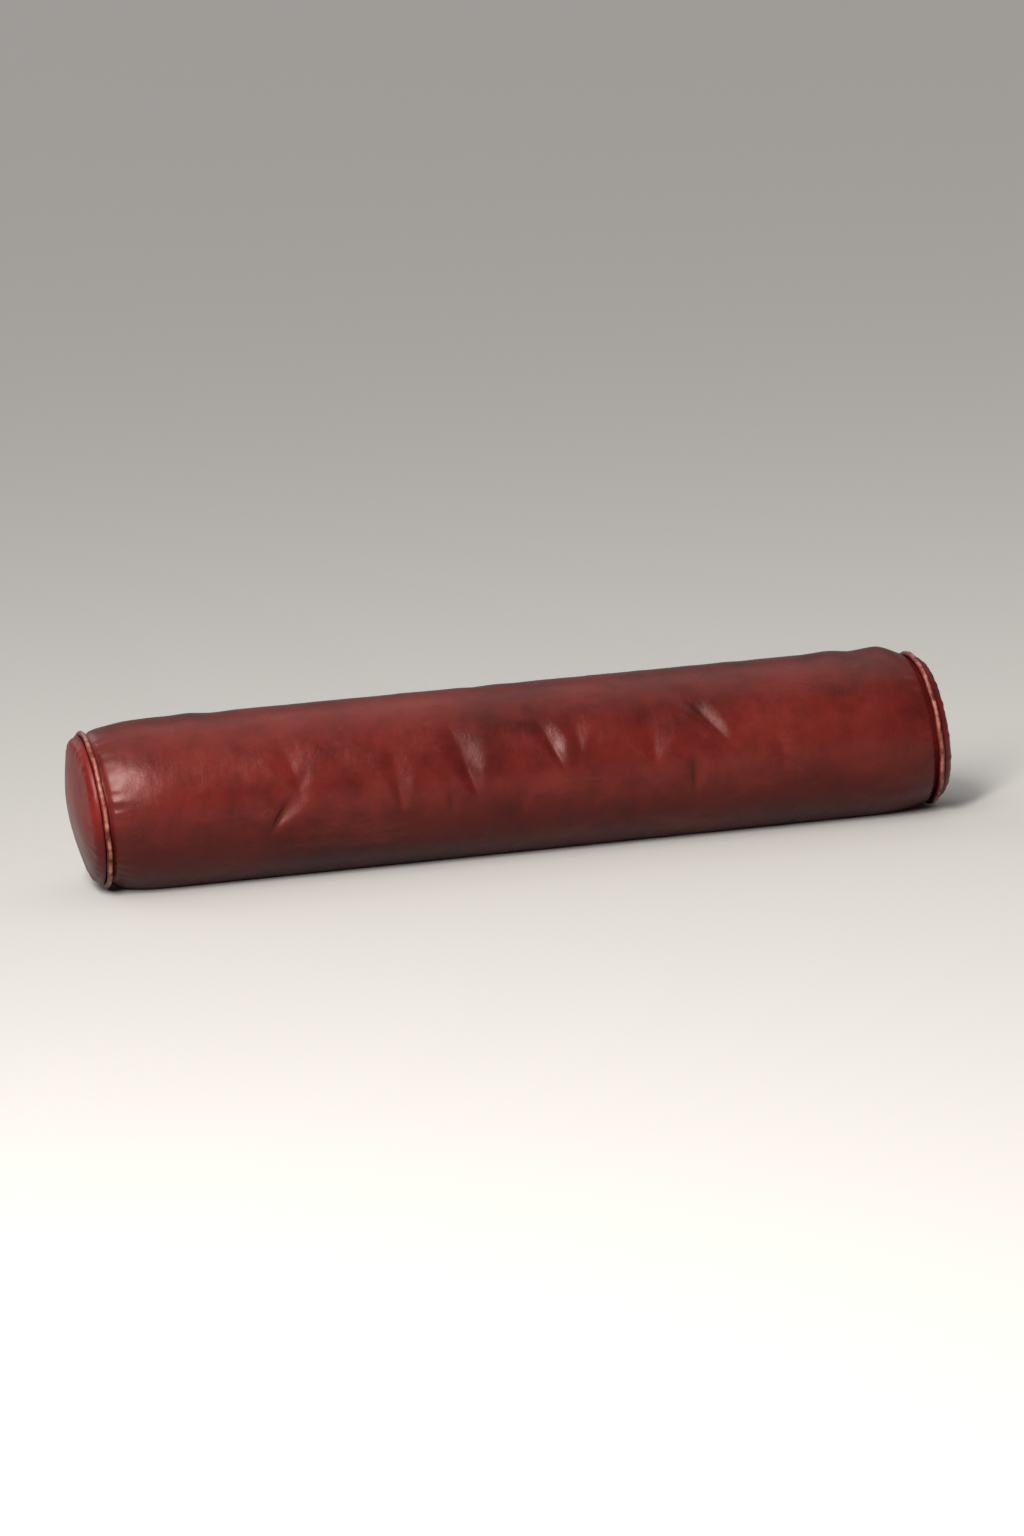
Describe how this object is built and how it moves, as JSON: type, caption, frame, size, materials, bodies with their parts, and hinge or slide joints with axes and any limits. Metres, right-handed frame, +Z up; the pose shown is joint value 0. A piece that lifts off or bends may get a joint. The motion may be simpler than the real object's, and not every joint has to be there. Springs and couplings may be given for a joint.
{
  "type": "bolster pillow",
  "caption": "Round leather bolster pillow with piped end caps, a zip along its back and a foam core in a cotton case.",
  "frame": {"origin": "middle of the flat that the bolster rests on", "axes": "+X along the bolster, +Y to its back, where the zip is, +Z up from the resting face"},
  "size_m": [0.79, 0.15, 0.1457],
  "materials": {
    "body_leather": "satin",
    "cap_leather": "satin",
    "piping_leather": "satin",
    "cotton_cord": "matte",
    "thread": "matte",
    "zip_tape": "matte",
    "zip_brass": "satin",
    "calico": "matte",
    "wadding": "matte",
    "foam": "matte"
  },
  "bodies": {
    "cover": {"leather_body_panel": "body_leather", "end_cap_left": "cap_leather", "end_cap_right": "cap_leather", "piping_cover_left": "piping_leather", "piping_cover_right": "piping_leather", "piping_cord_left": "cotton_cord", "piping_cord_right": "cotton_cord", "end_seam_thread_left": "thread", "end_seam_thread_right": "thread", "zip_topstitch_upper": "thread", "zip_topstitch_lower": "thread", "closing_seam_thread": "thread", "zip_tape_upper": "zip_tape", "zip_tape_lower": "zip_tape", "zip_teeth_upper": "zip_brass", "zip_teeth_lower": "zip_brass", "zip_top_stops": "zip_brass", "zip_bottom_stop": "zip_brass", "inner_case_barrel": "calico", "inner_case_end_left": "calico", "inner_case_end_right": "calico", "wadding_wrap": "wadding", "wadding_disc_left": "wadding", "wadding_disc_right": "wadding", "end_filler_left": "wadding", "end_filler_right": "wadding", "foam_core": "foam"},
    "zip_slider": {"zip_slider": "zip_brass", "zip_slider_bail": "zip_brass"},
    "pull_tab": {"zip_pull_tab": "zip_brass"}
  },
  "joints": [
    {"name": "slider_travel", "type": "slide", "parent": "cover", "child": "zip_slider", "axis": [-1, 0, 0], "range_m": [0, 0.5785], "deforming": ["zip_teeth_upper", "zip_teeth_lower", "zip_tape_upper", "zip_tape_lower"]},
    {"name": "pull_tab_hinge", "type": "hinge", "parent": "zip_slider", "child": "pull_tab", "pos_m": [0.28925, 0.06573, 0.10866], "axis": [0, 0.5, -0.866], "range_deg": [0, 180]}
  ]
}
